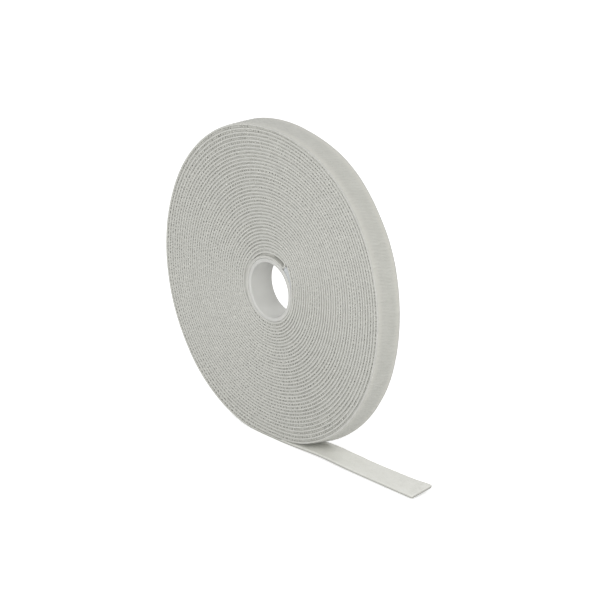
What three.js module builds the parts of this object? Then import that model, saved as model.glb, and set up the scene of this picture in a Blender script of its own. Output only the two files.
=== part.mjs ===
import * as THREE from 'three';

// Hook and loop tape, wound back to back on a plastic core. It stands on its outer turn, its axis along Y,
// with the free end laid out along +X. The origin is on the floor, straight under the axis. Millimetres.

const degree = Math.PI / 180;
const fullTurn = 2 * Math.PI;

// Tape: a hook web and a loop web bonded back to back, hooks outward
const tapeWidth = 12.7;
const webThickness = 0.93;
const pileHeight = 0.556;
const tapeTurns = 38;
const pitch = webThickness + pileHeight;

// Plastic core
const boreRadius = 12.3;
const coreWall = 1.9;
const coreWidth = tapeWidth;
const coreRimRadius = 0.5;
const coreRadius = boreRadius + coreWall;

// Gap between neighbouring pieces
const pieceGap = 0.3;

// The whole roll, and the flat that it stands on
const rollRadius = coreRadius + pieceGap + tapeTurns * pitch;
const flatDepth = 0.5;
const axisHeight = rollRadius - flatDepth;
const flatTurn = Math.acos(axisHeight / rollRadius) / fullTurn;

// The turns are looser above the core than under it, so the core sits lower than the middle of the roll
const coreSag = 2.3;
const coreShift = 0.3;

// Turns that are wound one by one. Those under them are one plain ring
const windingLoops = 24;
const stepsPerLoop = 36;

// Free end of the tape
const tailReach = 89.8;
const tailBend = 36;
const tailYaw = 1.94 * degree;
const tipCornerRadius = 0.6;
const tipCornerSteps = 4;

// Glue that holds the start of the tape on the core, thick at the fold and thin at its far end.
// Angles run round the axis from six o'clock over nine o'clock, as seen from the front.
const beadInset = 0.35;
const beadStart = 216.8 * degree;
const beadEnd = 286 * degree;
const beadHeight = 2.5;
const beadToe = 0.25;
const beadSteps = 14;
const noseShare = 0.07;

// The first turn comes down to the core behind the glue, and rises to it past the fold
const liftStart = 214.5 * degree;
const liftEnd = 215.3 * degree;
const landing = 10 * degree;
const liftSteps = 6;

// The tape starts with a fold. The loop of the fold and the gap under the folded end stay open.
const foldAngle = 212 * degree;
const foldToe = 96 * degree;
const foldHeight = 2.05;
const foldToeHeight = 0.12;
const foldSteps = 24;
const foldNoseShare = 0.05;

const ringSteps = 96;
const coreSteps = 72;
const rimSteps = 3;

const tapeColor = 0xc6c6be;
const plasticColor = 0xcdcdc9;
const glueColor = 0xc3c4c2;

function finish(name, geometry, color, roughness) {
  const material = new THREE.MeshStandardMaterial({ color, roughness, metalness: 0 });
  const mesh = new THREE.Mesh(geometry, material);
  mesh.name = name;
  return mesh;
}

// Eases from 0 to 1
function ease(share) {
  const s = Math.min(Math.max(share, 0), 1);
  return s * s * (3 - 2 * s);
}

// How far inward a radius lies, from 0 on the outermost turn to 1 at the core
function inwardShare(radius) {
  const share = (rollRadius - radius) / (rollRadius - coreRadius - pieceGap);
  return Math.min(Math.max(share, 0), 1);
}

// A point of the side view, at an angle round the middle of the turn that has this radius
function sidePoint(angle, radius) {
  const inward = inwardShare(radius);
  return new THREE.Vector2(
    coreShift * inward - radius * Math.sin(angle),
    axisHeight - coreSag * inward - radius * Math.cos(angle),
  );
}

// Outer face of the tape, counted in turns inward from where it meets the floor
function turnRadius(turn) {
  return rollRadius - turn * pitch;
}

// Height of the glue over the core, and of the first turn's underside over the core
function beadTop(angle) {
  const along = (angle - beadStart) / (beadEnd - beadStart);
  return beadHeight + (beadToe - beadHeight) * ease(along);
}

function firstTurnLift(angle) {
  if (angle < beadStart) {
    return (beadHeight + pieceGap) * ease((angle - liftStart) / (liftEnd - liftStart));
  }
  const height = beadTop(angle) + pieceGap;
  return height * (1 - ease((angle - beadEnd) / landing));
}

// A side view outline, drawn out along Y about the middle of the tape
function sideExtrude(shape, width, curveSegments) {
  const geometry = new THREE.ExtrudeGeometry(shape, { depth: width, bevelEnabled: false, curveSegments });
  geometry.rotateX(Math.PI / 2);
  geometry.translate(0, width / 2, 0);
  return geometry;
}

function coreRing() {
  const half = coreWidth / 2;
  const corners = [
    [boreRadius, -half, 1, 1, Math.PI],
    [coreRadius, -half, -1, 1, 1.5 * Math.PI],
    [coreRadius, half, -1, -1, 0],
    [boreRadius, half, 1, -1, Math.PI / 2],
  ];
  const profile = [];
  for (const [radius, side, inward, along, from] of corners) {
    for (let i = 0; i <= rimSteps; i += 1) {
      const angle = from + (i / rimSteps) * (Math.PI / 2);
      profile.push(new THREE.Vector2(
        radius + coreRimRadius * (inward + Math.cos(angle)),
        side + coreRimRadius * (along + Math.sin(angle)),
      ));
    }
  }
  profile.push(profile[0].clone());
  const geometry = new THREE.LatheGeometry(profile, coreSteps);
  geometry.translate(coreShift, 0, axisHeight - coreSag);
  return finish('core_ring', geometry, plasticColor, 0.42);
}

function glueBead() {
  const seat = coreRadius + pieceGap;
  const shape = new THREE.Shape();
  const points = [];
  const noseTurn = noseShare * (beadEnd - beadStart);
  for (let i = 0; i <= beadSteps; i += 1) {
    points.push(sidePoint(beadEnd + (beadStart + noseTurn - beadEnd) * (i / beadSteps), seat));
  }
  // Rounded nose
  for (let i = 1; i < beadSteps; i += 1) {
    const around = Math.PI * (i / beadSteps);
    const angle = beadStart + noseTurn * (1 - Math.sin(around));
    const rise = beadTop(angle) - pieceGap;
    points.push(sidePoint(angle, seat + rise * (1 - Math.cos(around)) / 2));
  }
  for (let i = 0; i <= beadSteps; i += 1) {
    const angle = beadStart + noseTurn + (beadEnd - beadStart - noseTurn) * (i / beadSteps);
    points.push(sidePoint(angle, seat + Math.max(beadTop(angle) - pieceGap, beadToe / 2)));
  }
  shape.setFromPoints(points);
  return finish('start_glue_bead', sideExtrude(shape, tapeWidth - 2 * beadInset), glueColor, 0.4);
}

// Side view of the open space in the fold, with a round end at the fold
function foldGap() {
  const floor = coreRadius + pieceGap + webThickness;
  const span = foldAngle - foldToe;
  const noseTurn = foldNoseShare * span;
  const height = (angle) => foldToeHeight + (foldHeight - foldToeHeight) * ((angle - foldToe) / span);
  const points = [];
  for (let i = 0; i <= foldSteps; i += 1) {
    const angle = foldToe + (span - noseTurn) * (i / foldSteps);
    points.push(sidePoint(angle, floor + height(angle)));
  }
  for (let i = 1; i < beadSteps; i += 1) {
    const around = Math.PI * (i / beadSteps);
    const angle = foldAngle - noseTurn * (1 - Math.sin(around));
    points.push(sidePoint(angle, floor + height(angle) * (1 + Math.cos(around)) / 2));
  }
  for (let i = foldSteps; i >= 0; i -= 1) {
    points.push(sidePoint(foldToe + (span - noseTurn) * (i / foldSteps), floor));
  }
  return new THREE.Path(points);
}

// Turns next to the core, as one plain ring whose outline steps down by one turn under the wound ones
function innerTurns() {
  const outline = [];
  for (let i = 0; i <= ringSteps; i += 1) {
    const share = i / ringSteps;
    outline.push(sidePoint(share * fullTurn, turnRadius(windingLoops + share)));
  }
  // The hole has more points where the first turn rises past the fold
  const angles = [];
  for (let i = 0; i < ringSteps; i += 1) {
    const angle = (i / ringSteps) * fullTurn;
    if (angle < liftStart || angle > beadStart) {
      angles.push(angle);
    }
  }
  for (let i = 0; i <= liftSteps; i += 1) {
    angles.push(liftStart + (liftEnd - liftStart) * (i / liftSteps));
  }
  angles.sort((a, b) => a - b);
  const hole = angles.map((angle) => sidePoint(angle, coreRadius + pieceGap + firstTurnLift(angle)));
  const shape = new THREE.Shape(outline.reverse());
  shape.holes.push(new THREE.Path(hole), foldGap());
  return finish('inner_turns', sideExtrude(shape, tapeWidth), tapeColor, 0.9);
}

// Corners of the tape's section at one place: outer face front and back, inner face back and front
function woundSection(turn) {
  const half = tapeWidth / 2;
  const outer = sidePoint(turn * fullTurn, turnRadius(turn));
  const inner = sidePoint(turn * fullTurn, turnRadius(turn) - webThickness);
  if (Math.abs(turn) <= flatTurn) {
    outer.y = 0;
  }
  return [
    [outer.x, -half, outer.y],
    [outer.x, half, outer.y],
    [inner.x, half, inner.y],
    [inner.x, -half, inner.y],
  ];
}

function laidSection(reach) {
  const half = tapeWidth / 2;
  const c = Math.cos(tailYaw);
  const s = Math.sin(tailYaw);
  const corner = (side, height) => [reach * c - side * s, reach * s + side * c, height];
  return [corner(-half, 0), corner(half, 0), corner(half, webThickness), corner(-half, webThickness)];
}

// Joins four-cornered sections into one closed band
function band(sections) {
  const positions = sections.flat(2);
  const index = [];
  const quad = (a, b, c, d) => index.push(a, c, b, a, d, c);
  for (let i = 0; i + 1 < sections.length; i += 1) {
    for (let k = 0; k < 4; k += 1) {
      const next = (k + 1) % 4;
      quad(4 * i + k, 4 * i + next, 4 * (i + 1) + next, 4 * (i + 1) + k);
    }
  }
  const last = 4 * (sections.length - 1);
  quad(3, 2, 1, 0);
  quad(last, last + 1, last + 2, last + 3);
  const geometry = new THREE.BufferGeometry();
  geometry.setAttribute('position', new THREE.Float32BufferAttribute(positions, 3));
  geometry.setIndex(index);
  geometry.computeVertexNormals();
  return geometry;
}

function outerTurns() {
  // From the bend of the free end, along the floor, and then inward round the roll
  const sections = [laidSection(tailBend - pieceGap / 2)];
  const places = [-flatTurn, 0, flatTurn];
  const loopSteps = windingLoops * stepsPerLoop;
  for (let i = Math.floor(flatTurn * stepsPerLoop) + 1; i < loopSteps; i += 1) {
    places.push(i / stepsPerLoop);
  }
  places.push(windingLoops - pieceGap / (fullTurn * turnRadius(windingLoops)));
  sections.push(...places.map(woundSection));
  console.log(`least gap between wound turns ${leastGap(places).toFixed(3)} mm`);
  return finish('outer_turns', band(sections), tapeColor, 0.9);
}

// Least distance from the outer face of a turn to the inner face of the turn around it
function leastGap(places) {
  const faces = places.map((turn) => {
    const section = woundSection(turn);
    return { turn, outer: section[0], inner: section[3] };
  });
  const line = new THREE.Line3();
  const point = new THREE.Vector3();
  const nearest = new THREE.Vector3();
  let least = Infinity;
  for (const { turn, outer } of faces) {
    for (let i = 0; i + 1 < faces.length; i += 1) {
      const turnsBetween = turn - faces[i].turn;
      if (turnsBetween > 0.8 && turnsBetween < 1.2) {
        line.start.fromArray(faces[i].inner);
        line.end.fromArray(faces[i + 1].inner);
        line.closestPointToPoint(point.fromArray(outer), true, nearest);
        least = Math.min(least, nearest.distanceTo(point));
      }
    }
  }
  return least;
}

// The loose end past the bend, lying flat, with its cut corners a little rounded
function freeTail() {
  const half = tapeWidth / 2;
  const start = tailBend + pieceGap / 2;
  const shape = new THREE.Shape();
  shape.moveTo(start, -half);
  shape.lineTo(tailReach - tipCornerRadius, -half);
  shape.absarc(tailReach - tipCornerRadius, -half + tipCornerRadius, tipCornerRadius, -Math.PI / 2, 0);
  shape.lineTo(tailReach, half - tipCornerRadius);
  shape.absarc(tailReach - tipCornerRadius, half - tipCornerRadius, tipCornerRadius, 0, Math.PI / 2);
  shape.lineTo(start, half);
  shape.closePath();
  const geometry = new THREE.ExtrudeGeometry(shape, {
    depth: webThickness,
    bevelEnabled: false,
    curveSegments: tipCornerSteps,
  });
  return finish('free_tail', geometry, tapeColor, 0.9);
}

const roll = new THREE.Group();
roll.add(coreRing(), glueBead(), innerTurns(), outerTurns());

const looseEnd = new THREE.Group();
looseEnd.rotation.z = tailYaw;
looseEnd.add(freeTail());

const tapeRoll = new THREE.Group();
tapeRoll.add(roll, looseEnd);

export default tapeRoll;
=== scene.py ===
import math

import bpy
import numpy as np
from mathutils import Matrix, Vector


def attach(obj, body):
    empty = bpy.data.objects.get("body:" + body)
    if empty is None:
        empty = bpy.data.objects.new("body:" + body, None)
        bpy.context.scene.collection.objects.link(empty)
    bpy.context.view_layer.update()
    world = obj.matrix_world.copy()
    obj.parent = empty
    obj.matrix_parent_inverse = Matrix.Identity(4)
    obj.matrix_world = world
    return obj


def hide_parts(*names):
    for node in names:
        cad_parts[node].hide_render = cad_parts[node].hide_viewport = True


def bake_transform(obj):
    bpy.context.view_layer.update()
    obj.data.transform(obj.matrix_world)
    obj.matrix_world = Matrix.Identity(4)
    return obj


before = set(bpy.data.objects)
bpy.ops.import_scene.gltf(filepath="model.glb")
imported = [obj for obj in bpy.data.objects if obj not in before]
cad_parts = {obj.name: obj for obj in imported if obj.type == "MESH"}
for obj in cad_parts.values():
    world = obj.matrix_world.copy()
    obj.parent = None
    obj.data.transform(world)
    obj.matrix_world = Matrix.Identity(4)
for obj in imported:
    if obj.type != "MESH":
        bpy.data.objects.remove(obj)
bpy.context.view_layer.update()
print("frame loaded,", len(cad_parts), "solids")

mm = 0.001  # sizes below are in millimetres, meshes are in metres
bakeMap = "OFBake"


def ease(share):
    s = np.clip(share, 0, 1)
    return s * s * (3 - 2 * s)


def softMax(a, b, width):
    return (a + b + np.sqrt((a - b) ** 2 + width ** 2)) / 2


def straight(pairs, at):
    # Straight lines through pairs of (place, value)
    return np.interp(at, *np.array(pairs, float).T)


def softCurve(pairs, spread, fine=8, reach=24):
    # The same, rounded off over spread
    step = spread / fine
    grid = np.arange(pairs[0][0], pairs[-1][0] + step, step)
    weight = np.exp(-0.5 * (np.arange(-reach, reach + 1) / fine) ** 2)
    weight /= weight.sum()
    smooth = np.convolve(np.pad(straight(pairs, grid), reach, mode="edge"), weight, mode="valid")
    return lambda at: np.interp(at, grid, smooth)


def wobble(at, scale, seed):
    # A smooth random line between about -1 and 1
    knots = np.random.default_rng(seed).uniform(-1, 1, int(np.max(at) / scale) + 3)
    place = np.maximum(at, 0) / scale
    first = place.astype(int)
    return knots[first] + (knots[first + 1] - knots[first]) * ease(place - first)


# The tape: a hook web and a loop web bonded back to back, hooks outward
tape = {
    "width": 12.7,
    "web": 0.84,
    "hooks": 0.26,
    "pile": 0.36,
    "freePile": 0.30,
    "nearCorner": 0.35,
    "farCorner": 0.9,
    # section of one edge from the loop side to the hook side: how far in, share of half the web
    "edge": [(0.62, -1), (0.22, -1), (0.05, -0.86), (0, -0.5), (0.02, 0),
             (0, 0.5), (0.05, 0.86), (0.22, 1), (0.62, 1)],
}
half = tape["width"] / 2
webHalf = tape["web"] / 2

# The line it lies on. Turns count outward from the fold, angles run from six to nine o'clock
course = {
    "foldAngle": 214.0,
    "turns": 37 + 214 / 360,
    "spiral": (15.077, 1.3671, 0.0028),
    # off centre and out of round, one, two and three times round, each by powers of the share wound
    "cosines": [(-1.417, 0.865, 0.257, 0.296), (0.652, 0.16, -0.76, 0), (-0.128, 0.038, 0, 0)],
    "sines": [(0.648, -0.58, -0.474, 0.344), (0.341, -0.19, -0.25, 0), (-0.402, 0.297, 0, 0)],
    # the whole roll is out of round, two, three and four times round
    "round": [(0.292, -0.144), (0.037, -0.088), (-0.476, 0.110)],
    # the turns over the fold stand higher
    "foldRise": 0.6, "foldSpread": 25.0, "foldFade": 1.3,
    # the first turn lies on the core, then climbs over the glue and the fold
    "first": [(0, 14.75), (0.1, 14.88), (0.2, 14.97), (0.4, 14.93), (0.55, 14.78), (0.7, 14.67),
              (0.79, 14.66), (0.83, 14.68), (0.87, 14.9), (0.90, 15.4), (0.93, 16.2), (0.955, 16.95),
              (0.975, 17.6), (1, 18.4)],
    "firstJoins": (0.965, 0.035),  # from which turn on, and over how much of it
    # the folded start of the tape, from its cut end to the fold
    "flap": [(134, 16.0), (138, 16.15), (150, 16.45), (165, 16.8), (180, 17.2), (195, 17.6), (209, 17.85)],
    "flapStep": 0.25, "foldFrom": 210.0, "bowSteps": 60, "pastFold": 2.0,
    # The outermost turns stand out evenly, only at the back, or sag, by degrees before the free end
    "bulge": [(0, 0), (3, 0.03), (5, 0.18), (7, 0.42), (9, 0.7), (11, 0.88), (20, 0.95), (28, 0.92),
              (34, 0.78), (42, 0.72), (50, 0.27), (66, 0.3), (82, 0.45), (98, 0.45), (108, 0.27),
              (122, 0.42), (138, 0.62), (154, 0.9), (162, 0.78), (176, 0.42), (190, 0.1), (200, 0.15),
              (350, 0.15), (360, 0)],
    "flare": [(0, 0), (150, 0), (160, 0.3), (170, 0.3), (188, 0), (198, 0.1), (206, 0.55), (214, 0.6),
              (224, 0.3), (232, 0.15), (240, 0.45), (248, 0.5), (258, 0.25), (276, 0.05), (288, 0.2),
              (296, 0.35), (304, 0.35), (312, 0.66), (320, 0.97), (328, 1.45), (334, 1.85), (338, 2.1),
              (341, 1.5), (345, 0.8), (350, 0.1), (360, 0)],
    "sag": [(0, 0), (285, 0), (300, 0.08), (310, 0.2), (320, 0.4), (330, 0.6), (338, 0.85), (342, 0.9),
            (345, 0.75), (348, 0.48), (351, 0.22), (355, 0), (360, 0)],
    # how much of it the outermost turn and those below it take
    "passed": {"bulge": (1, 0.66, 0.42, 0.24, 0.1), "flare": (1, 0.4, 0.15),
               "sag": (1, 0.9, 0.75, 0.55, 0.35, 0.2, 0.1)},
    "axisHeight": 70.93, "rollRadius": 70.98, "coreAt": (0.3, -2.3),
    "rest": 0.12,  # height of the web over the floor
    "flatFade": 3.0, "flatSoft": 0.1,
    "reach": 89.8, "step": 0.1, "turnSteps": 90001,
    # the free end leaves at an angle, from so many turns before it on
    "yaw": 1.94, "yawStart": 8.0, "yawFrom": 0.12,
    # how far the free end's near and far edges lift off the floor
    "nearLift": [(0, 0), (8, 0), (12, 0.05), (16, 0.2), (20, 0.4), (24, 0.55), (28, 0.82), (36, 1.02),
                 (45, 0.62), (52, 0.46), (91, 0.46)],
    "farLift": [(0, 0), (10, 0.1), (20, 0.85), (27, 1.15), (30, 1.3), (33, 1.42), (38, 1.32), (43, 1.21),
                (47, 1.26), (52, 1.04), (60, 1.02), (67, 1.24), (72, 1.24), (76, 1.38), (82, 1.66),
                (86, 2.08), (88, 2.17), (91, 2.15)],
    # over how many turns, degrees or millimetres each of these curves is rounded off
    "soften": {"first": 0.012, "flap": 4.0, "bulge": 3.0, "flare": 2.0, "sag": 2.0, "nearLift": 2.4,
               "farLift": 1.6},
}
# Low waves from turn to turn, and how the turns wander sideways
waves = {"high": 0.012, "counts": (7, 13, 19, 26, 34, 43), "drift": 1.1, "phase": 6.28,
         "swell": (0.7, 2.1), "swellBy": 0.4, "fadeIn": 1.5, "fadeOut": 0.06, "seed": 11}
wander = {"wide": 0.05, "turns": 0.31, "fadeOut": 0.3, "seed": 21}

foldAngle, endTurn = course["foldAngle"], course["turns"]
endRadius = course["rollRadius"] - tape["hooks"] - webHalf
curves = {key: softCurve(course[key], spread) for key, spread in course["soften"].items()}
flapRadius = curves["flap"]
yawSlope = math.tan(math.radians(course["yaw"]))
turn0 = (foldAngle - course["foldFrom"]) / 360


def dents(turn):
    rng = np.random.default_rng(waves["seed"])
    total = np.zeros_like(turn)
    for count in waves["counts"]:
        drift, phase = rng.uniform(-waves["drift"], waves["drift"]), rng.uniform(0, waves["phase"])
        swell = 1 - waves["swellBy"] + waves["swellBy"] * np.sin(turn * rng.uniform(*waves["swell"]) + phase)
        total += swell * np.sin(2 * np.pi * count * turn + drift * turn + phase)
    fade = ease((turn - 1) / waves["fadeIn"]) * ease((endTurn - turn) / waves["fadeOut"])
    return waves["high"] * total * fade


def turnRadius(turn):
    angle = np.radians(foldAngle - 360 * turn)
    share = turn / endTurn
    start, step, growth = course["spiral"]
    radius = start + step * turn + growth * turn ** 2
    for times, (c, s) in enumerate(zip(course["cosines"], course["sines"]), 1):
        powers = share[..., None] ** np.arange(len(c))
        radius += (powers @ c) * np.cos(times * angle) + (powers @ s) * np.sin(times * angle)
    off = (np.degrees(angle) - foldAngle + 180) % 360 - 180
    fade = np.maximum(turn - 1, 0) / course["foldFade"]
    radius += course["foldRise"] * np.exp(-fade - (off / course["foldSpread"]) ** 2)
    joins, over = course["firstJoins"]
    first = curves["first"](turn)
    radius = first + (radius - first) * ease((turn - joins) / over)
    for times, (c, s) in enumerate(course["round"], 2):
        out = (radius / course["rollRadius"]) ** 2
        radius = radius + out * (c * (np.cos(times * angle) - 1) + s * np.sin(times * angle))
    return radius + dents(turn)


def centreAt(radius):
    # Where the middle of a turn lies: from the core's middle outward to the roll's axis
    inward = np.clip((endRadius - radius) / (endRadius - course["first"][0][1]), 0, 1)
    return course["coreAt"][0] * inward, course["axisHeight"] + course["coreAt"][1] * inward


def sideView(radius, angle):
    x, z = centreAt(radius)
    return x - radius * np.sin(angle), z - radius * np.cos(angle)


def turnPlace(turn):
    turn = np.asarray(turn, float)
    radius = turnRadius(turn)
    x, z = sideView(radius, np.radians(foldAngle - 360 * turn))
    # the outer turns are flat where the roll stands on them
    lowest = centreAt(radius)[1] - np.minimum(radius, endRadius)
    flat = course["rest"] + webHalf - (course["axisHeight"] - endRadius)
    return x, softMax(z, lowest + flat * np.exp((turn - endTurn) / course["flatFade"]), course["flatSoft"])


def foldedStart():
    # The cut end, over the gap to the fold, and back down to the core
    degrees = np.arange(course["flap"][0][0], course["foldFrom"], course["flapStep"])
    degrees = np.append(degrees, course["foldFrom"])
    x, z = sideView(flapRadius(degrees), np.radians(degrees))
    endX, endZ = turnPlace(turn0)
    middle = np.array([x[-1] + endX, z[-1] + endZ]) / 2
    arm = np.array([x[-1], z[-1]]) - middle
    swing = np.linspace(0, math.pi, course["bowSteps"])[1:-1, None]
    # the fold swings out to the right of the line from its upper to its lower end
    beside = np.array([arm[1], -arm[0]])
    bow = middle + arm * np.cos(swing) + beside * np.sin(swing)
    return np.append(x, bow[:, 0]), np.append(z, bow[:, 1])


def layCourse():
    turn = np.linspace(turn0, endTurn, course["turnSteps"])
    x, z = turnPlace(turn)
    startX, startZ = foldedStart()
    back = np.hypot(np.diff(np.append(startX, x[0])), np.diff(np.append(startZ, z[0])))
    x, z = np.append(startX, x), np.append(startZ, z)
    # before the first turn, a hundred millimetres count as one turn
    turn = np.append(turn0 - np.cumsum(back[::-1])[::-1] / 100, turn)
    step = course["step"]
    reach = np.arange(step, course["reach"] + step / 2, step)
    lastX = reach * math.cos(math.radians(course["yaw"]))
    x, z = np.append(x, lastX + x[-1]), np.append(z, np.full_like(reach, z[-1]))
    turn = np.append(turn, endTurn + reach / (2 * np.pi * endRadius))
    leaving = turn > endTurn - course["yawFrom"]
    bend = np.sqrt(x ** 2 + course["yawStart"] ** 2)
    y = np.where(leaving, yawSlope * (x + bend) / 2, 0)
    sideways = wander["wide"] * wobble(np.maximum(turn, 0), wander["turns"], wander["seed"])
    y += sideways * ease((endTurn - turn) / wander["fadeOut"])
    yaw = np.where(leaving, np.arctan(yawSlope * (1 + x / bend) / 2), 0)
    tx, tz = np.gradient(x), np.gradient(z)
    size = np.hypot(tx, tz)
    none = np.zeros_like(x)
    return {
        "length": np.append(0, np.cumsum(np.hypot(np.diff(x), np.diff(z)))),
        "turn": turn,
        "centre": np.stack([x, y, z], 1),
        "out": np.stack([tz / size, none, -tx / size], 1),
        "side": np.stack([-np.sin(yaw), np.cos(yaw), none], 1),
    }


line = layCourse()


def lengthAt(turn):
    return np.interp(turn, line["turn"], line["length"])


def turnAt(length):
    return np.interp(length, line["length"], line["turn"])


tailStart = float(lengthAt(endTurn))
fullLength = float(line["length"][-1])
foldEnd = float(lengthAt(turn0)) + course["pastFold"]
print(f"tape laid, {fullLength / 1000:.2f} m in {endTurn:.1f} turns")


def place(length, across, height):
    # Points along the tape, across it and at a height over its web's middle, hooks up
    length, across, height = np.broadcast_arrays(*(np.asarray(v, float) for v in (length, across, height)))

    def at(key):
        return np.stack([np.interp(length, line["length"], line[key][:, i]) for i in range(3)], -1)

    share = (across / half + 1) / 2
    back = 360 * (endTurn - turnAt(length))
    for key, parts in course["passed"].items():
        spread = share if key == "flare" else 1
        for turns, part in enumerate(parts):
            height = height + part * spread * curves[key](back - 360 * turns)
    point = at("centre") + at("side") * across[..., None] + at("out") * height[..., None]
    reach = length - tailStart
    point[..., 2] += curves["nearLift"](reach) * (1 - share) + curves["farLift"](reach) * share
    return point


def halfAt(length, side):
    # Half the width, less at the rounded corners of the cut end
    corner = np.where(side < 0, tape["nearCorner"], tape["farCorner"])
    past = np.clip(corner - (fullLength - length), 0, corner)
    return half - (corner - np.sqrt(corner ** 2 - past ** 2))


class Wire:
    # An output that can stand in an expression, where each operator adds a Math node
    def __init__(self, nodes, socket):
        self.nodes, self.socket = nodes, socket

    def maths(self, operation, *values):
        return self.nodes.node("ShaderNodeMath", {"operation": operation}, dict(enumerate(values)))

    def __add__(self, other):
        return self.maths("ADD", self, other)

    __radd__ = __add__

    def __sub__(self, other):
        return self.maths("SUBTRACT", self, other)

    def __rsub__(self, other):
        return self.maths("SUBTRACT", other, self)

    def __mul__(self, other):
        return self.maths("MULTIPLY", self, other)

    __rmul__ = __mul__

    def __abs__(self):
        return self.maths("ABSOLUTE", self)

    def either(self, other):
        return self.maths("MAXIMUM", self, other)

    def wave(self, length):
        # A sine from -1 to 1 that repeats over a length
        return self.maths("SINE", self * (2 * math.pi / length))

    def over(self, low, high):
        # 0 below low, 1 above high, smooth between
        return self.nodes.node("ShaderNodeMapRange", {"interpolation_type": "SMOOTHSTEP"},
                               {"Value": self, "From Min": low, "From Max": high})


class Nodes:
    # A node tree, and the one method that makes its nodes
    def __init__(self, tree):
        self.tree = tree
        self.made = 0

    def join(self, socket, value):
        if isinstance(value, Wire):
            self.tree.links.new(value.socket, socket)
        else:
            socket.default_value = value

    def node(self, kind, settings=None, sockets=None, out=0):
        made = self.tree.nodes.new(kind)
        self.made += 1
        made.location = (-260 - 180 * (self.made // 5), 400 - 200 * (self.made % 5))
        for key, value in (settings or {}).items():
            setattr(made, key, value)
        for key, value in (sockets or {}).items():
            self.join(made.inputs[key], value)
        return Wire(self, made.outputs[out])

    def show(self, output, surface):
        self.join(self.tree.nodes[output].inputs["Surface"], surface)


def paint(red, green, blue):
    # A colour as a screen shows it, 0 to 255
    levels = (red / 255, green / 255, blue / 255)
    return *(v / 12.92 if v <= 0.04045 else ((v + 0.055) / 1.055) ** 2.4 for v in levels), 1.0


class Finish(Nodes):
    def __init__(self, name, **shader):
        self.material = bpy.data.materials.new(name)
        self.material.use_nodes = True
        super().__init__(self.material.node_tree)
        self.shader = self.tree.nodes["Principled BSDF"]
        self.set(**shader)

    def set(self, **sockets):
        for key, value in sockets.items():
            self.join(self.shader.inputs[key.replace("_", " ")], value)

    def facts(self, *names):
        return [self.node("ShaderNodeAttribute", {"attribute_name": name}, out="Fac") for name in names]

    def spot(self, x, y, z=0.0):
        return self.node("ShaderNodeCombineXYZ", None, {0: x, 1: y, 2: z})

    def here(self):
        # Place on the object, in millimetres
        spot = self.node("ShaderNodeTexCoord", out="Object")
        return self.node("ShaderNodeVectorMath", {"operation": "SCALE"}, {0: spot, "Scale": 1 / mm})

    def noise(self, where, size, detail, rough, *edges):
        # Its size is in millimetres. With edges, it comes in between those two values
        pattern = self.node("ShaderNodeTexNoise", None,
                            {"Vector": where, "Scale": 1 / size, "Detail": detail, "Roughness": rough})
        return pattern.over(*edges) if edges else pattern

    def mix(self, factor, first, second):
        return self.node("ShaderNodeMix", {"data_type": "RGBA"}, {0: factor, 6: first, 7: second}, out=2)

    def dress(self, colour, roughness, relief, depth, strength=1.0):
        bump = self.node("ShaderNodeBump", None,
                         {"Height": relief, "Distance": depth * mm, "Strength": strength})
        self.set(Base_Color=colour, Roughness=roughness, Normal=bump)
        return self.material


def webEdgeFinish():
    # the floor tone is painted shade: the edge's contact shadow where the tape lies on the floor
    look = {"light": paint(198, 198, 192), "dark": paint(187, 187, 181), "floor": paint(150, 150, 142),
            "stitch": 0.62, "skew": 0.12, "fibres": (0.10, 2.0, 0.6), "cloud": (3.4, 3.0, 0.55, 0.34, 0.66),
            "paintedShadeFrom": (22, 8), "bump": 0.03}
    f = Finish("woven tape edge", Sheen_Weight=0.25, Sheen_Roughness=0.5)
    along, across, rise = f.facts("along", "across", "rise")
    stitches = (along + rise * look["skew"]).wave(look["stitch"]) * 0.5 + 0.5
    fibres = f.noise(f.spot(along * 0.7, across, rise * 1.6), *look["fibres"])
    cloud = f.noise(f.spot(along, across, rise * webHalf), *look["cloud"])
    # painted shade: the hook web's half of the edge is darkened where it lies on the floor, standing for its
    # contact shadow
    paintedShadeSpan = along.over(*(tailStart - before for before in look["paintedShadeFrom"]))
    under = (rise + fibres * 0.5).over(-0.1, 0.7) * paintedShadeSpan
    unshadedEdge = f.mix(cloud * 0.6 + fibres * 0.4, look["dark"], look["light"])
    return f.dress(f.mix(under * 0.9, unshadedEdge, look["floor"]), 0.78 + fibres * 0.16,
                   stitches * 0.55 + fibres * 0.45, look["bump"], 0.8)


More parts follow.
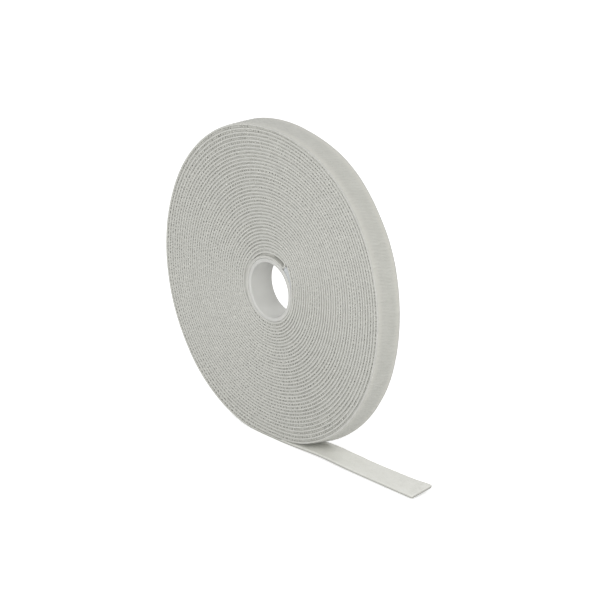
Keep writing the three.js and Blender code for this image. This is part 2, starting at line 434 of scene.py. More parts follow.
def hookSideFinish():
    # the fold's tone is painted light, lighter than the hook side so that the deep gap inside the fold looks
    # lit
    look = {"margin": paint(204, 203, 195), "field": paint(199, 199, 192), "deep": paint(182, 182, 175),
            "paintedLightInFold": paint(196, 196, 189), "foldTurns": (0.2, 0.3), "marginFrom": (2.2, 6.2),
            "rib": 1.48, "slant": 0.245, "drift": 2.6, "driftNoise": (4.5, 2.0, 0.6),
            "patches": (2.2, 2.0, 0.6, 0.36, 0.6), "weft": 0.37, "warp": 0.481,
            "fibres": (0.22, 2.0, 0.6), "cloud": (5.5, 3.0, 0.6, 0.3, 0.7), "bump": 0.07}
    f = Finish("woven hook side", Sheen_Weight=0.3, Sheen_Roughness=0.5)
    along, across = f.facts("along", "across")
    where = f.spot(along, across)
    patchy, fibres, cloud = (f.noise(where, *look[key]) for key in ("patches", "fibres", "cloud"))
    drift = f.noise(f.spot(along, across * 0.6), *look["driftNoise"])
    slant = drift * look["drift"] + across * look["slant"]
    ribs = (along + slant).wave(look["rib"]) * 0.5 * patchy + 0.5
    weave = along.wave(look["weft"]) * across.wave(look["warp"]) * 0.5 + 0.5
    field = f.mix(ribs * 0.45 + cloud * 0.35 + fibres * 0.2, look["deep"], look["field"])
    colour = f.mix(abs(across).over(*look["marginFrom"]), field, look["margin"])
    # painted light: the hook side inside the fold is lighter, standing for light that reaches into the deep
    # gap there
    fold = 1 - along.over(*lengthAt(look["foldTurns"]))
    return f.dress(f.mix(fold, colour, look["paintedLightInFold"]), 0.76 + fibres * 0.18,
                   ribs * 0.4 + weave * 0.35 + fibres * 0.25, look["bump"], 0.9)


def pileFinish():
    # the core's tone is painted light, lighter than the pile so that the deep gap by the core looks lit
    look = {"light": paint(196, 196, 190), "deep": paint(178, 178, 172), "byCore": paint(206, 206, 200),
            "paintedLightTurns": (0.75, 0.85), "tufts": (0.30, 3.0, 0.62), "cloud": (2.6, 3.0, 0.6, 0.32, 0.68),
            "bump": 0.10}
    f = Finish("loop pile", Sheen_Weight=0.35, Sheen_Roughness=0.6)
    along, across, rise = f.facts("along", "across", "rise")
    where = f.spot(along, across, rise)
    tufts, cloud = (f.noise(where, *look[key]) for key in ("tufts", "cloud"))
    colour = f.mix(tufts * 0.5 + cloud * 0.5, look["deep"], look["light"])
    # painted light: the first turn's pile, deep in the gap by the core, is lighter, standing for light that
    # reaches into it
    first = 1 - along.over(*lengthAt(look["paintedLightTurns"]))
    return f.dress(f.mix(first, colour, look["byCore"]), 0.88 + tufts * 0.1, tufts, look["bump"])


def fleeceFinish():
    # The brushed loops on top of the free end
    look = {"light": paint(230, 230, 224), "deep": paint(220, 220, 213), "knitAlong": 0.9, "knitAcross": 0.8,
            "tufts": (0.34, 3.0, 0.6), "cloud": (3.0, 3.0, 0.6, 0.32, 0.68), "bump": 0.05}
    f = Finish("brushed loop side", Sheen_Weight=0.3, Sheen_Roughness=0.55)
    along, across, rise = f.facts("along", "across", "rise")
    knit = (along + across * 0.5).wave(look["knitAlong"]) * across.wave(look["knitAcross"]) * 0.5 + 0.5
    tufts = f.noise(f.spot(along, across, rise), *look["tufts"])
    cloud = f.noise(f.spot(along * 0.6, across), *look["cloud"])
    shade = tufts * 0.4 + cloud * 0.4 + knit * 0.2
    return f.dress(f.mix(shade, look["deep"], look["light"]), 0.86 + tufts * 0.12,
                   tufts * 0.7 + knit * 0.3, look["bump"], 0.9)


def strandFinish(name, light, deep, roughness):
    # Single filaments, each with its own tone
    f = Finish(name, Sheen_Weight=0.15)
    tone, along = f.facts("tone", "along")
    grain = f.noise(f.spot(along, tone * 40), 0.2, 1.0, 0.5)
    f.set(Base_Color=f.mix(tone * 0.75 + grain * 0.25, deep, light),
          Roughness=roughness - 0.08 + grain * 0.16)
    return f.material


def solidFinish(look, **shader):
    # Plastic and glue, each with three patterns: its tone, its wear and its grain
    f = Finish(look["name"], Subsurface_Radius=(1.0, 1.0, 1.0), Subsurface_Scale=1.2 * mm, **shader)
    where = f.here()
    tone, wear, grain = (f.noise(where, *look[key]) for key in ("tone", "wear", "grain"))
    base, worn, fine = look["rough"]
    deepWear, deepGrain = look["relief"]
    return f.dress(f.mix(tone, look["deep"], look["light"]), base + wear * worn + grain * fine,
                   wear * deepWear + grain * deepGrain, *look["bump"])


corePlastic = {
    "name": "core plastic", "light": paint(201, 201, 197), "deep": paint(194, 194, 190),
    "tone": (6.0, 2.0, 0.5), "wear": (1.7, 4.0, 0.7, 0.5, 0.72), "grain": (0.35, 3.0, 0.6),
    "rough": (0.46, 0.12, 0.06), "relief": (0.4, 0.6), "bump": (0.008, 0.7),
}
setGlue = {
    "name": "set glue", "light": paint(195, 198, 199), "deep": paint(186, 189, 190),
    "tone": (1.6, 2.0, 0.5), "wear": (1.6, 2.0, 0.5), "grain": (0.3, 2.0, 0.6),
    "rough": (0.28, 0.16, 0.05), "relief": (0.8, 0.2), "bump": (0.05, 0.8),
}
finishes = {
    "edge": webEdgeFinish(),
    "hookSide": hookSideFinish(),
    "pile": pileFinish(),
    "fleece": fleeceFinish(),
    "tuft": strandFinish("caught loops", paint(194, 194, 187), paint(178, 178, 171), 0.85),
    "loop": strandFinish("single loops", paint(226, 226, 219), paint(206, 206, 199), 0.75),
    "hook": strandFinish("hook filaments", paint(203, 203, 196), paint(182, 182, 175), 0.5),
    "plastic": solidFinish(corePlastic, IOR=1.4, Subsurface_Weight=0.15),
    "glue": solidFinish(setGlue, IOR=1.47, Subsurface_Weight=0.2),
}
print("finishes mixed:", ", ".join(finishes))


def addObject(name, data):
    made = bpy.data.objects.new(name, data)
    bpy.context.scene.collection.objects.link(made)
    return made


def closedMesh(name, points, quads, spots, looks, facts=None, lookOf=0, caps=None, softCaps=False):
    # A piece of quads, with their spots on its map, and of caps that close its tubes
    ends, endSpots = caps or (np.empty((0, 3), int), np.empty((0, 3, 2)))
    a, b, c, d = (points[quads[:, i]] for i in range(4))
    if (a * (np.cross(b, c) + np.cross(c, d))).sum() < 0:  # inside out
        quads, spots, ends, endSpots = (corners[:, ::-1] for corners in (quads, spots, ends, endSpots))
    faces = np.append(np.full(len(quads), 4), np.full(len(ends), ends.shape[1]))
    corners = np.concatenate([quads.ravel(), ends.ravel()])
    lookEach, smooth = np.zeros(len(faces), np.int32), np.full(len(faces), softCaps)
    lookEach[:len(quads)], smooth[:len(quads)] = lookOf, True
    uv = np.concatenate([spots.reshape(-1, 2), endSpots.reshape(-1, 2)])
    mesh = bpy.data.meshes.new(name)
    mesh.vertices.add(len(points))
    mesh.vertices.foreach_set("co", (points * mm).astype(np.float32).ravel())
    mesh.loops.add(len(corners))
    mesh.loops.foreach_set("vertex_index", corners.astype(np.int32))
    mesh.polygons.add(len(faces))
    starts = np.append(0, np.cumsum(faces)[:-1])
    mesh.polygons.foreach_set("loop_start", starts.astype(np.int32))
    mesh.polygons.foreach_set("material_index", lookEach)
    mesh.polygons.foreach_set("use_smooth", smooth)
    mesh.update(calc_edges=True)
    for key, values in (facts or {}).items():
        fact = mesh.attributes.new(key, "FLOAT", "POINT")
        fact.data.foreach_set("value", values.astype(np.float32).ravel())
    mesh.uv_layers.new(name=bakeMap, do_init=False).uv.foreach_set("vector", uv.astype(np.float32).ravel())
    for look in looks:
        mesh.materials.append(finishes[look])
    return addObject(name, mesh)


def tubeQuads(index):
    # Quads between the stations of tubes, with their points round each station
    ahead = np.roll(index, -1, -1)
    corners = [index[..., :-1, :], ahead[..., :-1, :], ahead[..., 1:, :], index[..., 1:, :]]
    return np.stack(corners, -1).reshape(-1, 4)


def patches(u0, v0, u1, v1):
    # Spots of quads by where each begins and ends
    return np.stack([u0, v0, u0, v1, u1, v1, u1, v0], -1).reshape(-1, 4, 2)


# A band's map runs in rows, with its caps as discs in the last one
mapRows = {"high": 0.97, "inset": 0.015, "disc": 0.3, "discs": (0.25, 0.75)}


def skin(name, rings, looks, facts=None, lookOf=(0,)):
    # A closed band through rings of points
    stations, around = rings.shape[:2]
    index = np.arange(stations * around).reshape(stations, around)
    girth = np.linalg.norm(np.roll(rings[0], -1, 0) - rings[0], axis=1)
    round01 = np.append(0, np.cumsum(girth)) / girth.sum()
    run = np.linalg.norm(np.diff(rings[:, 0], axis=0), axis=1).sum()
    rows = max(1, int(math.sqrt(run / girth.sum())))
    perRow = math.ceil((stations - 1) / rows)
    i, k = np.indices((stations - 1, around))
    row, along = i // perRow, i % perRow
    u0, u1 = along / perRow, (along + 1) / perRow
    v0, v1 = ((row + mapRows["high"] * round01[k + n] + mapRows["inset"]) / (rows + 1) for n in (0, 1))
    turn = np.linspace(0, 2 * np.pi, around, endpoint=False)
    disc = mapRows["disc"] * np.stack([np.cos(turn), np.sin(turn)], -1) / (rows + 1)
    discs = np.stack([disc + [u, 1 - 0.5 / (rows + 1)] for u in mapRows["discs"]])
    caps = np.stack([index[0][::-1], index[-1]]), discs
    return closedMesh(name, rings.reshape(-1, 3), tubeQuads(index), patches(u0, v0, u1, v1), looks, facts,
                      np.resize(lookOf, (stations - 1) * around), caps)


def wovenSkin(name, rings, lengths, across, rise, looks=("pile",), lookOf=(0,)):
    # A skin that knows where on the tape its points lie
    shape = rings.shape[:2]
    facts = {"along": np.broadcast_to(lengths[:, None], shape), "across": across,
             "rise": np.broadcast_to(rise, shape)}
    return skin(name, rings, looks, facts, lookOf)


def strands(name, paths, thickness, look, along, seed, sides=3, wide=None):
    # Short filaments, each a closed tube along its path, which wide makes broader square to its bend
    count, steps = paths.shape[:2]
    tiny = 1e-12
    run = np.gradient(paths, axis=1)
    run /= np.linalg.norm(run, axis=2, keepdims=True) + tiny
    plane = np.cross(paths[:, steps // 2] - paths[:, 0], paths[:, -1] - paths[:, 0])
    plane += 1e-6  # for a straight filament
    plane /= np.linalg.norm(plane, axis=1, keepdims=True) + tiny
    one = np.repeat(plane[:, None], steps, 1)
    two = np.cross(run, one)
    high, broad = (np.broadcast_to(v, (count, steps))[..., None] / 2
                   for v in (thickness, thickness if wide is None else wide))
    turn = np.arange(sides) * 2 * np.pi / sides
    rings = np.stack([paths + broad * math.cos(t) * one + high * math.sin(t) * two for t in turn], 2)
    index = np.arange(count * steps * sides).reshape(count, steps, sides)
    ends = np.concatenate([index[:, 0, ::-1], index[:, -1]])
    # each filament has its own cell of the map
    across = math.ceil(math.sqrt(count))
    cell = np.stack([np.arange(count) % across, np.arange(count) // across], -1) / across
    s, k = np.indices((steps - 1, sides))
    patch = patches(s / (steps - 1), k / sides, (s + 1) / (steps - 1), (k + 1) / sides).reshape(1, -1, 2)
    spots = (cell[:, None] + (0.1 + 0.8 * patch) / across).reshape(-1, 4, 2)
    endSpots = np.repeat(cell[:, None] + 0.05 / across, sides, 1)
    endSpots = np.concatenate([endSpots, endSpots]).reshape(-1, sides, 2)
    tone = np.random.default_rng(seed).uniform(0, 1, count)
    facts = {"tone": np.repeat(tone, steps * sides), "along": np.repeat(along, steps * sides)}
    return closedMesh(name, rings.reshape(-1, 3), tubeQuads(index), spots, [look], facts,
                      caps=(ends, endSpots), softCaps=True)


split = {
    "innerTurns": 13.6,  # turns that stand for the plain ring by the core
    "tailFrom": 10.0,  # where the free end's own mesh starts, under the roll
    "foldStep": 0.32, "woundStep": 1.5, "tailStep": 0.5,
}
splitLength = float(lengthAt(split["innerTurns"]))
tailFrom = tailStart + split["tailFrom"]


def evenly(start, end, step):
    return np.linspace(start, end, int((end - start) / step) + 2)


def web(name, lengths):
    # The two bonded webs with their woven edges
    inset, rise = np.array(tape["edge"], float).T
    across = np.concatenate([-(half - inset), (half - inset)[::-1]])
    heights = np.concatenate([rise, rise[::-1]])
    flat = across + np.sign(across) * (halfAt(lengths[:, None], across) - half)
    rings = place(lengths[:, None], flat, heights * webHalf)
    edge = len(inset) - 1
    return wovenSkin(name, rings, lengths, flat, heights, ["edge", "hookSide", "pile"],
                     [0] * edge + [1] + [0] * edge + [2])


# the stations lie closer together where the tape is folded
innerTape = web("inner_turns_of_tape", np.append(np.arange(0, foldEnd, split["foldStep"]),
                                                 evenly(foldEnd, splitLength, split["woundStep"])))
outerTape = web("outer_turns_of_tape", evenly(splitLength, tailFrom, split["woundStep"]))
looseEnd = web("free_end_of_tape", evenly(tailFrom, fullLength, split["tailStep"]))
print("webs woven,", sum(len(o.data.polygons) for o in (innerTape, outerTape, looseEnd)), "faces")

core = {"bore": 12.3, "outer": 14.2, "width": 12.7, "rim": 0.62, "rimSteps": 9, "wallSteps": 10,
        "around": 224}
coreMiddle = (course["coreAt"][0], course["axisHeight"] + course["coreAt"][1])


def roundCore(radius, y, angle):
    x, z = coreMiddle[0] - radius * np.sin(angle), coreMiddle[1] - radius * np.cos(angle)
    return np.stack([x, np.broadcast_to(y, x.shape), z], -1)


def coreTube():
    rim, reach = core["rim"], core["width"] / 2
    low, high = core["bore"] + rim, core["outer"] - rim
    sweep = np.linspace(0, math.pi / 2, core["rimSteps"] + 1)
    profile = []
    for corner, (radius, y) in enumerate(((low, rim - reach), (high, rim - reach),
                                          (high, reach - rim), (low, reach - rim))):
        turn = sweep + math.pi + corner * math.pi / 2
        profile += list(zip(radius + rim * np.cos(turn), y + rim * np.sin(turn)))
    # points along the walls, so that they shade evenly
    full = []
    for (r0, y0), (r1, y1) in zip(profile, profile[1:] + profile[:1]):
        parts = core["wallSteps"] if math.hypot(r1 - r0, y1 - y0) > 2 * rim else 1
        full += [(r0 + (r1 - r0) * i / parts, y0 + (y1 - y0) * i / parts) for i in range(parts)]
    radius, y = np.array(full).T
    points = roundCore(radius, y, np.linspace(0, 2 * np.pi, core["around"], endpoint=False)[:, None])
    rows, around = points.shape[:2]
    index = np.arange(rows * around).reshape(rows, around)
    i, k = np.indices((rows, around))
    return closedMesh("core_tube", points.reshape(-1, 3), tubeQuads(np.append(index, index[:1], 0)),
                      patches(i, k, i + 1, k + 1) / [rows, around], ["plastic"])


coreRing = coreTube()

glue = {
    # from its rounded nose by the fold to its thin end
    "nose": 215.4, "full": 219.0, "end": 286.0, "toe": 14.0, "noseSteps": 26, "steps": 110,
    "highest": 17.05, "soften": 0.3,
    "under": 0.06,  # below the first turn
    "sunk": 0.02,  # into the core
    "thinnest": 0.03, "thinEnd": 0.03, "inset": 0.3, "noseInset": 0.5, "round": 0.4,
    "rough": (0.05, 6.0),  # how far its sides wave, and over how many degrees
    # section of one side: how far in, share of the height
    "side": [(2.2, 0.0), (0.7, 0.0), (0.2, 0.12), (0.0, 0.36), (0.0, 0.64), (0.2, 0.88), (0.7, 1.0),
             (2.2, 1.0)],
    "seed": 31,
}


def coreDistance(turn):
    x, z = turnPlace(turn)
    return np.hypot(x - coreMiddle[0], z - coreMiddle[1])


def glueTop(degrees):
    # Up to the first turn's underside, but no higher than the drop was
    under = coreDistance((foldAngle - degrees) % 360 / 360) - webHalf - glue["under"]
    top = -softMax(-under, -np.full_like(under, glue["highest"]), glue["soften"])
    return np.maximum(top, core["outer"] + glue["thinnest"])


def startGlue():
    degrees = np.concatenate([np.linspace(glue["nose"], glue["full"], glue["noseSteps"])[:-1],
                              np.linspace(glue["full"], glue["end"], glue["steps"])])
    top = glueTop(degrees)
    low = np.full_like(top, core["outer"] - glue["sunk"])
    swell = np.clip((degrees - glue["nose"]) / (glue["full"] - glue["nose"]), 0, 1)
    bluff = np.sqrt(np.maximum(1 - (1 - swell) ** 2, 0.0004))
    middle, span = (top + low) / 2, (top - low) / 2
    high = middle + span * bluff
    thick = glue["thinEnd"] + (1 - glue["thinEnd"]) * ease((glue["end"] - degrees) / glue["toe"])
    high = low + (high - low) * thick
    low = np.where(swell < 1, middle - span * bluff, low)
    wave, over = glue["rough"]
    reach = half - glue["inset"] - glue["noseInset"] * (1 - bluff)
    reach = reach + wave * wobble(degrees - degrees[0], over, glue["seed"])
    bevel = np.minimum(glue["round"], (high - low) / 2.2)
    rings = [roundCore(low + (high - low) * share, side * (reach - bevel * inset), np.radians(degrees))
             for side, run in ((-1, glue["side"]), (1, glue["side"][::-1])) for inset, share in run]
    return skin("start_glue", np.stack(rings, 1), ["glue"])


glueWedge = startGlue()
print("core and glue made")

pile = {
    "step": 1.3, "lanes": 5,
    "recess": 0.52,  # how far the pile lies behind the tape's edges
    "rough": 0.16, "waves": ((0.6, 1.9), (0.5, 1.4)), "crown": 0.14, "embed": 0.05,
    "freeRecess": 0.2,
    # spacing of two turns: filled up to the first, open from the second
    "fills": (1.72, 1.92), "fillsOutside": (2.5, 2.8), "outside": 5.0,
    # left open under the second turn, over the folded start and past it
    "slit": (-0.02, 0.2), "slitTurns": (1.0, 1.6), "slitTo": (1.45, 0.06), "thickest": 1.5,
    "foldTurns": 1.3,  # the folded start ends below this turn
    "byCore": 0.1, "byCoreTo": (0.75, 0.1),  # recess of the first turn, which lies on the core
    "seed": 40,
}


def recessAt(lengths, side, lane):
    (big, bigRun), (small, smallRun) = pile["waves"]
    seed = pile["seed"] + side
    rough = big * wobble(lengths, bigRun, seed) + small * wobble(lengths, smallRun, seed + 10 * (lane + 1))
    until, over = pile["byCoreTo"]
    byCore = 1 - ease((turnAt(lengths) - until) / over)
    return (pile["recess"] + pile["rough"] * rough) * (1 - byCore) + pile["byCore"] * byCore


def filled(lengths, side):
    # Share of the gap under one edge that the pile fills: all, or only its own height
    y = side * (half - pile["recess"])
    here, below = place(lengths, y, 0), place(lengthAt(turnAt(lengths) - 1), y, 0)
    spacing = np.linalg.norm(here - below, axis=-1)
    outside = ease(turnAt(lengths) - (endTurn - pile["outside"]))
    low, high = (a + (b - a) * outside for a, b in zip(pile["fills"], pile["fillsOutside"]))
    return ease((high - spacing) / (high - low)) * (turnAt(lengths) >= 1)


def pileHeight(lengths):
    turn = turnAt(lengths)
    degrees = (foldAngle - 360 * turn) % 360
    onGlue = (degrees > glue["nose"]) & (degrees < glue["end"])
    seat = np.where(onGlue, glueTop(degrees), core["outer"] + glue["sunk"])
    onCore = np.minimum(tape["pile"], coreDistance(np.minimum(turn, 1.0)) - webHalf - seat)
    # the second turn's pile reaches the folded start, and past that nearly the first turn
    until, over = pile["slitTo"]
    second = np.clip(turn, *pile["slitTurns"])
    onFold = (degrees > course["flap"][0][0]) & (turn < pile["foldTurns"])
    below = np.where(onFold, flapRadius(degrees), coreDistance(second - 1))
    gap = coreDistance(second) - 2 * webHalf - below - np.where(onFold, *pile["slit"])
    gap = np.clip(gap, tape["pile"], pile["thickest"])
    overFold = gap + (tape["pile"] - gap) * ease((turn - until) / over)
    beside = np.interp(lengths - tailStart, [0, split["tailFrom"]], [tape["pile"], tape["freePile"]])
    return np.select([turn < 1, turn <= endTurn], [onCore, overFold], beside)


def woundPile():
    lengths = evenly(foldEnd, tailFrom, pile["step"])
    under = lengthAt(np.maximum(turnAt(lengths) - 1, turn0))
    shares = np.linspace(0, 1, pile["lanes"])
    columns, rises, acrosses = [], [], []
    for side in (-1, 1):
        bridge = np.where(turnAt(lengths) <= endTurn, filled(lengths, side), 0)[:, None]
        for lane in range(pile["lanes"])[::-side]:
            y = side * (half - recessAt(lengths, side, lane) - pile["crown"] * (2 * shares[lane] - 1) ** 2)
            outerPoint = place(lengths, y, -(webHalf - pile["embed"]))
            nextTurn = place(under, y, webHalf - pile["embed"])
            nextTurn[:, 1] = outerPoint[:, 1]
            free = place(lengths, y, -(webHalf + pileHeight(lengths)))
            innerPoint = free + (nextTurn - free) * bridge
            columns.append(innerPoint + (outerPoint - innerPoint) * shares[lane])
            rises.append(-1 - 2 * (1 - shares[lane]))
            acrosses.append(y)
    return wovenSkin("pile_between_turns", np.stack(columns, 1), lengths, np.stack(acrosses, 1), rises)


woundLoops = woundPile()

matted = {
    "from": 135.5, "to": 200.0, "steps": 90, "lanes": (0, 0.33, 0.67, 1),
    "recess": [(135, 0.7), (150, 0.9), (172, 1.1), (184, 1.9), (194, 3.6), (200, 6.0)],
    "rough": (0.12, 2.3), "crown": 0.1, "embed": 0.06, "seed": 45,
}


def foldFilling():
    # Hooks pressed into each other in the narrow part of the fold
    degrees = np.linspace(matted["from"], matted["to"], matted["steps"])
    turn = (foldAngle - degrees) / 360
    low = coreDistance(turn) + webHalf - matted["embed"]
    top = flapRadius(degrees) - webHalf + matted["embed"]
    recess = straight(matted["recess"], degrees)
    deep, over = matted["rough"]
    columns, acrosses = [], []
    for side in (-1, 1):
        for lane, share in enumerate(matted["lanes"][::-side]):
            rough = deep * wobble(degrees, over, matted["seed"] + side + 2 * lane)
            y = side * (half - recess - rough - matted["crown"] * (2 * share - 1) ** 2)
            columns.append(roundCore(low + (top - low) * share, y, np.radians(degrees)))
            acrosses.append(y)
    rings, across = np.stack(columns, 1), np.stack(acrosses, 1)
    return wovenSkin("hooks_inside_fold", rings, lengthAt(turn + 1), across, 1.0)


foldHooks = foldFilling()

fleece = {
    "step": 0.36, "columns": 42,
    "overlap": 0.6, "tip": 0.12,  # it starts before the free end's own mesh, and ends before the cut
    "edgeWave": (0.04, 0.9), "edgeSeed": 62,
    "embed": 0.04, "sunk": 0.05, "round": 0.16, "atEdge": 0.35,
    "rough": 0.028, "bumps": ((1.0, 0.8), (0.7, 1.7), (0.6, 4.5)), "seed": 71,
    "loops": 3000, "loopFrom": 1.0, "loopTo": 0.6, "loopMargin": 0.4, "loopHigh": 0.13,
    "loopRise": (0.4, 1.0), "loopWide": (0.35, 0.7), "loopSteps": 5, "loopSeed": 121, "thick": 0.05,
}


def bumps2d(along, across, scale, seed):
    # Smooth random bumps over the tape
    rng = np.random.default_rng(seed)
    a, b = (along - along.min()) / scale, (across + half + 1) / scale
    knots = rng.uniform(-1, 1, (int(a.max()) + 3, int(b.max()) + 3))
    i, j = a.astype(int), b.astype(int)
    s, t = ease(a - i), ease(b - j)
    low = knots[i, j] + (knots[i, j + 1] - knots[i, j]) * t
    high = knots[i + 1, j] + (knots[i + 1, j + 1] - knots[i + 1, j]) * t
    return low + (high - low) * s


def freePile():
    lengths = np.linspace(tailFrom - fleece["overlap"], fullLength - fleece["tip"],
                          int((fullLength - tailFrom) / fleece["step"]))
    wave, over = fleece["edgeWave"]
    near, far = ((halfAt(lengths + fleece["tip"], side) - pile["freeRecess"]
                  + wave * wobble(lengths - lengths[0], over, fleece["edgeSeed"] + side))[:, None]
                 for side in (-1, 1))
    across = -near + (near + far) * np.linspace(0, 1, fleece["columns"])
    # rounded off at both edges and at the cut end
    fromEdge = np.minimum(across + near, far - across) / fleece["round"]
    fromTip = (lengths[-1] - lengths)[:, None] / fleece["round"] + 0.1
    crown = np.sqrt(np.clip(fromEdge, 0, 1)) * np.sqrt(np.clip(fromTip, 0, 1))
    along = np.repeat(lengths[:, None], fleece["columns"], 1)
    rough = sum(high * bumps2d(along, across, scale, fleece["seed"] + i)
                for i, (high, scale) in enumerate(fleece["bumps"]))
    thick = tape["freePile"] + fleece["embed"] + fleece["rough"] * rough
    top = webHalf - fleece["embed"] + thick * (fleece["atEdge"] + (1 - fleece["atEdge"]) * crown)
    upper = place(along, across, -top)
    lower = place(along[:, [-1, 0]], across[:, [-1, 0]], -(webHalf - fleece["sunk"]))
    rise = np.concatenate([-top / webHalf, np.full((len(lengths), 2), -1.0)], 1)
    return wovenSkin("free_end_pile", np.concatenate([upper, lower], 1), lengths,
                     np.concatenate([across, across[:, [-1, 0]]], 1), rise, ["fleece"])


freeLoops = freePile()
print("pile laid between the turns and on the free end")

tufts = {
    "gap": (1.0, 2.2),
    "hole": (0.3, 0.65), "closed": 0.1,  # between two tufts, less where the gap is closed
    "fromTurn": 1.02, "until": 2.0,  # they end so far before the free end
    "thick": 0.34, "steps": 4,
    "broader": (0.85, 0.35),  # its width at the middle, and how much is added at its ends
    "lean": 0.12,  # how far a tuft leans along the gap that it crosses
    "bulge": 0.07,
    # how far behind the edge, how much farther where the gap is open, and how unevenly
    "deep": 0.20, "deeper": 0.30, "uneven": 0.08,
    "embed": 0.06,
    # how far the gaps are open by the angle round the roll, and along the tape
    "open": [(0, 0.2), (45, 0), (105, 0.05), (135, 0.4), (165, 0.9), (195, 0.6), (225, 0.3), (255, 0.55),
             (285, 0.75), (315, 0.75), (345, 0.35), (360, 0.2)],
    "openChange": 0.45, "openRun": 60.0,
}


def edgeTufts(name, side, seed):
    # Loops held by hooks, which cross from turn to turn
    rng = np.random.default_rng(seed)
    gaps = rng.uniform(*tufts["gap"], int(fullLength / tufts["gap"][0]))
    at = np.cumsum(gaps)
    hole = rng.uniform(*tufts["hole"], len(at))
    keep = (turnAt(at) > tufts["fromTurn"]) & (at < tailStart - tufts["until"])
    keep[keep] = filled(at[keep], side) > 0.5
    at, gaps, hole = at[keep], gaps[keep], hole[keep]
    count = len(at)
    lean = rng.normal(0, tufts["lean"], count)
    openAt = straight(tufts["open"], (foldAngle - 360 * turnAt(at)) % 360)
    openShare = ease(openAt + tufts["openChange"] * wobble(at, tufts["openRun"], seed + 2))
    broad = gaps - hole * (tufts["closed"] + (1 - tufts["closed"]) * openShare)
    deep = tufts["deep"] + tufts["deeper"] * openShare
    deep = deep + rng.uniform(-tufts["uneven"], tufts["uneven"], count)
    share = np.linspace(0, 1, tufts["steps"])
    y = side * (half - deep - tufts["thick"] / 2)
    start = place(lengthAt(turnAt(at) - 1), y, webHalf - tufts["embed"])
    end = place(at + lean, y, tufts["embed"] - webHalf)
    start[:, 1] = end[:, 1]
    paths = start[:, None] + (end - start)[:, None] * share[None, :, None]
    paths[..., 1] += side * tufts["bulge"] * np.sin(np.pi * share)
    least, more = tufts["broader"]
    wide = broad[:, None] * (least + more * (2 * share - 1) ** 2)
    return strands(name, paths, tufts["thick"], "tuft", at, seed + 1, sides=4, wide=wide)


frontTufts = edgeTufts("front_edge_tufts", -1, 81)
backTufts = edgeTufts("back_edge_tufts", 1, 91)

hooks = {
    "rowStep": 1.48, "columnStep": 0.76, "stagger": 0.25,
    "uneven": (0.08, 0.07),  # along and across
    "missing": 0.04, "margin": 0.95, "endMargin": 0.5, "thick": 0.10, "spin": 0.45, "size": (0.85, 1.02),
    # one crook: how far it leans, how high it stands over the web
    "crook": [(0.0, -0.05), (0.01, 0.10), (0.05, 0.19), (0.13, 0.235), (0.21, 0.21), (0.25, 0.13)],
    "woundTurns": 1.05,  # how much of the outermost turn has them
    "pressedFrom": 13.0,  # where the roll's weight presses them flat, before the free end
    "lowStand": 0.36,  # how high they stand under the free end
}


def arches(at, across, spin, lean, height):
    # Paths over the tape that lean the way each one is turned
    return place(at[:, None] + lean * np.cos(spin)[:, None], across[:, None] + lean * np.sin(spin)[:, None],
                 height)


def hookField(name, start, end, stand, seed):
    rng = np.random.default_rng(seed)
    rows = np.arange(start, end, hooks["rowStep"])
    reach = half - hooks["margin"]
    columns = np.linspace(-reach, reach, int(2 * reach / hooks["columnStep"]) + 1)
    at, across = (v.ravel() for v in np.meshgrid(rows, columns, indexing="ij"))
    row = np.repeat(np.arange(len(rows)), len(columns))
    alongOff, acrossOff = hooks["uneven"]
    stagger = np.where(row % 2, hooks["stagger"], -hooks["stagger"]) * hooks["columnStep"]
    across = across + stagger + rng.normal(0, acrossOff, len(at))
    at = at + rng.normal(0, alongOff, len(at))
    keep = (rng.uniform(0, 1, len(at)) > hooks["missing"]) & (at < end - hooks["endMargin"])
    at, across = at[keep], across[keep]
    count = len(at)
    spin = rng.normal(0, hooks["spin"], count) + np.where(row[keep] % 2, 0, np.pi)
    size = rng.uniform(*hooks["size"], count)[:, None]
    lean, high = np.array(hooks["crook"]).T
    paths = arches(at, across, spin, lean * size, webHalf + high * stand * size)
    return strands(name, paths, hooks["thick"] * stand, "hook", at, seed + 1)


outerHooks = hookField("outer_turn_hooks", float(lengthAt(endTurn - hooks["woundTurns"])),
                       tailStart - hooks["pressedFrom"], 1.0, 101)
looseHooks = hookField("free_end_hooks", tailFrom, fullLength, hooks["lowStand"], 111)


def fleeceLoops():
    # Single loops that stand up from the brushed side
    rng = np.random.default_rng(fleece["loopSeed"])
    count = fleece["loops"]
    at = rng.uniform(tailFrom + fleece["loopFrom"], fullLength - fleece["loopTo"], count)
    across = rng.uniform(-1, 1, count) * (half - fleece["loopMargin"])
    spin = rng.uniform(0, 2 * np.pi, count)
    wide, high = (rng.uniform(*fleece[key], count)[:, None] for key in ("loopWide", "loopRise"))
    share = np.linspace(-1, 1, fleece["loopSteps"])
    rise = tape["freePile"] - fleece["sunk"] + high * fleece["loopHigh"] * (1 - share ** 2)
    paths = arches(at, across, spin, share * wide / 2, -(webHalf + rise))
    return strands("free_end_loops", paths, fleece["thick"], "loop", at, fleece["loopSeed"] + 1)


topLoops = fleeceLoops()
print("tufts, hooks and loops made:",
      sum(len(o.data.polygons) for o in (frontTufts, backTufts, outerHooks, looseHooks, topLoops)), "faces")


# Each of these pieces moves with the roll's body, and the model's solids for the core, glue and tape are
# hidden
for piece in (coreRing, glueWedge, innerTape, outerTape, woundLoops, foldHooks, frontTufts, backTufts,
              outerHooks):
    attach(piece, "roll")
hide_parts("core_ring")
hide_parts("start_glue_bead")
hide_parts("inner_turns")
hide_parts("outer_turns")
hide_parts("free_tail")

# The free end's pieces have their placement applied to their meshes
for piece in (looseEnd, freeLoops, looseHooks, topLoops):
    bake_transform(piece)

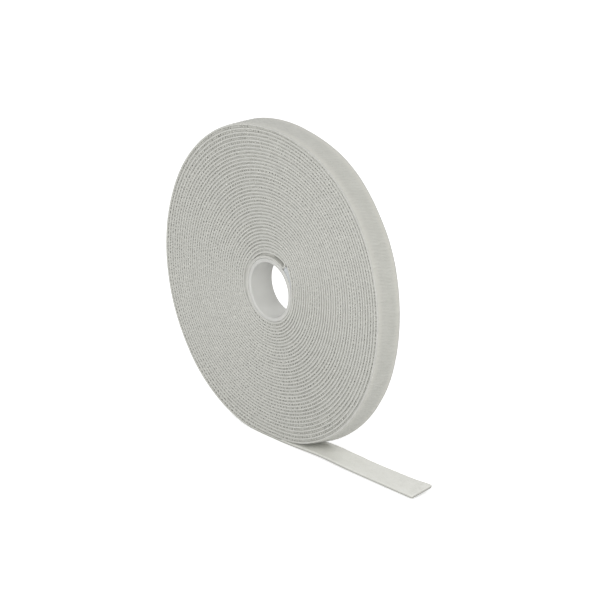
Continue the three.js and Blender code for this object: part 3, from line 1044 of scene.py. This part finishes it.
white = (1.0, 1.0, 1.0, 1.0)
light = {
    "fill": 0.57,
    "lamps": {
        "front": {"place": (0.4, -1.35, 0.97), "size": 0.9, "watts": 10.0},
        "right": {"place": (1.6, -0.65, 0.26), "size": 0.5, "watts": 7.5},
        "back": {"place": (-0.6, 1.2, 1.1), "size": 0.9, "watts": 5.5},
    },
    "aim": (0, 0, 0.07), "floor": (0.86, 0.86, 0.86, 1.0), "floorReach": 4.0,
    "floorLift": 0.56,  # brings the floor up to white for the camera, and keeps its shadows
}


def addFloor():
    reach = light["floorReach"]
    mesh = bpy.data.meshes.new("floor")
    mesh.from_pydata([(-reach, -reach, 0), (reach, -reach, 0), (reach, reach, 0), (-reach, reach, 0)], [],
                     [(0, 1, 2, 3)])
    f = Finish("pale floor", Base_Color=light["floor"], Roughness=0.9, Specular_IOR_Level=0.1)
    sight = f.node("ShaderNodeLightPath", out="Is Camera Ray")
    glow = f.node("ShaderNodeEmission", None, {"Color": white, "Strength": sight * light["floorLift"]})
    f.show("Material Output", f.node("ShaderNodeAddShader", None, {0: Wire(f, f.shader.outputs[0]), 1: glow}))
    mesh.materials.append(f.material)
    floor = addObject("floor", mesh)


def addLamp(name, facts):
    lamp = bpy.data.lights.new(name, "AREA")
    lamp.shape, lamp.size, lamp.energy = "DISK", facts["size"], facts["watts"]
    holder = addObject(name, lamp)
    holder.location = facts["place"]
    toward = Vector(light["aim"]) - holder.location
    holder.rotation_euler = toward.to_track_quat("-Z", "Y").to_euler()


def addWorld():
    # An even fill, which the camera and reflections see as white
    world = bpy.data.worlds.new("studio")
    world.use_nodes = True
    w = Nodes(world.node_tree)
    w.tree.nodes.remove(w.tree.nodes["Background"])
    direct, glossy, through = (w.node("ShaderNodeLightPath", out=f"Is {kind} Ray")
                               for kind in ("Camera", "Glossy", "Transmission"))
    fill, plain = (w.node("ShaderNodeBackground", None, {"Color": white, "Strength": strength})
                   for strength in (light["fill"], 1.0))
    seen = direct.either(glossy).either(through)
    w.show("World Output", w.node("ShaderNodeMixShader", None, {0: seen, 1: fill, 2: plain}))
    bpy.context.scene.world = world


camera = {
    "azimuth": 48.37099, "elevation": 20.23548, "roll": 1.14842, "distance": 1219.114,
    # in pixels of a 600 pixel image
    "focus": 2806.663, "middleAt": (279.592, 281.901), "frame": 600, "sensor": 36,
}


def addCamera():
    az, el, roll = (math.radians(camera[k]) for k in ("azimuth", "elevation", "roll"))
    middle = Vector((0, 0, course["axisHeight"])) * mm
    back = Vector((math.sin(az) * math.cos(el), -math.cos(az) * math.cos(el), math.sin(el)))
    right = Vector((math.cos(az), math.sin(az), 0))
    up = back.cross(right)
    right, up = right * math.cos(roll) + up * math.sin(roll), up * math.cos(roll) - right * math.sin(roll)
    spot = middle + back * camera["distance"] * mm
    # the camera aims beside the roll's middle
    scale = camera["distance"] * mm / camera["focus"]
    beside = [(camera["frame"] / 2 - v) * scale for v in camera["middleAt"]]
    back = (spot - (middle + right * beside[0] - up * beside[1])).normalized()
    right = (right - back * right.dot(back)).normalized()
    up = back.cross(right)
    data = bpy.data.cameras.new("camera")
    data.sensor_width = camera["sensor"]
    data.lens = camera["focus"] * data.sensor_width / camera["frame"]
    holder = addObject("camera", data)
    holder.matrix_world = Matrix.Translation(spot) @ Matrix((right, up, back)).transposed().to_4x4()
    bpy.context.scene.camera = holder


addFloor()
addWorld()
for name, facts in light["lamps"].items():
    addLamp(name, facts)
addCamera()
bpy.context.scene.view_settings.view_transform = "Standard"
print("floor, light and camera set")
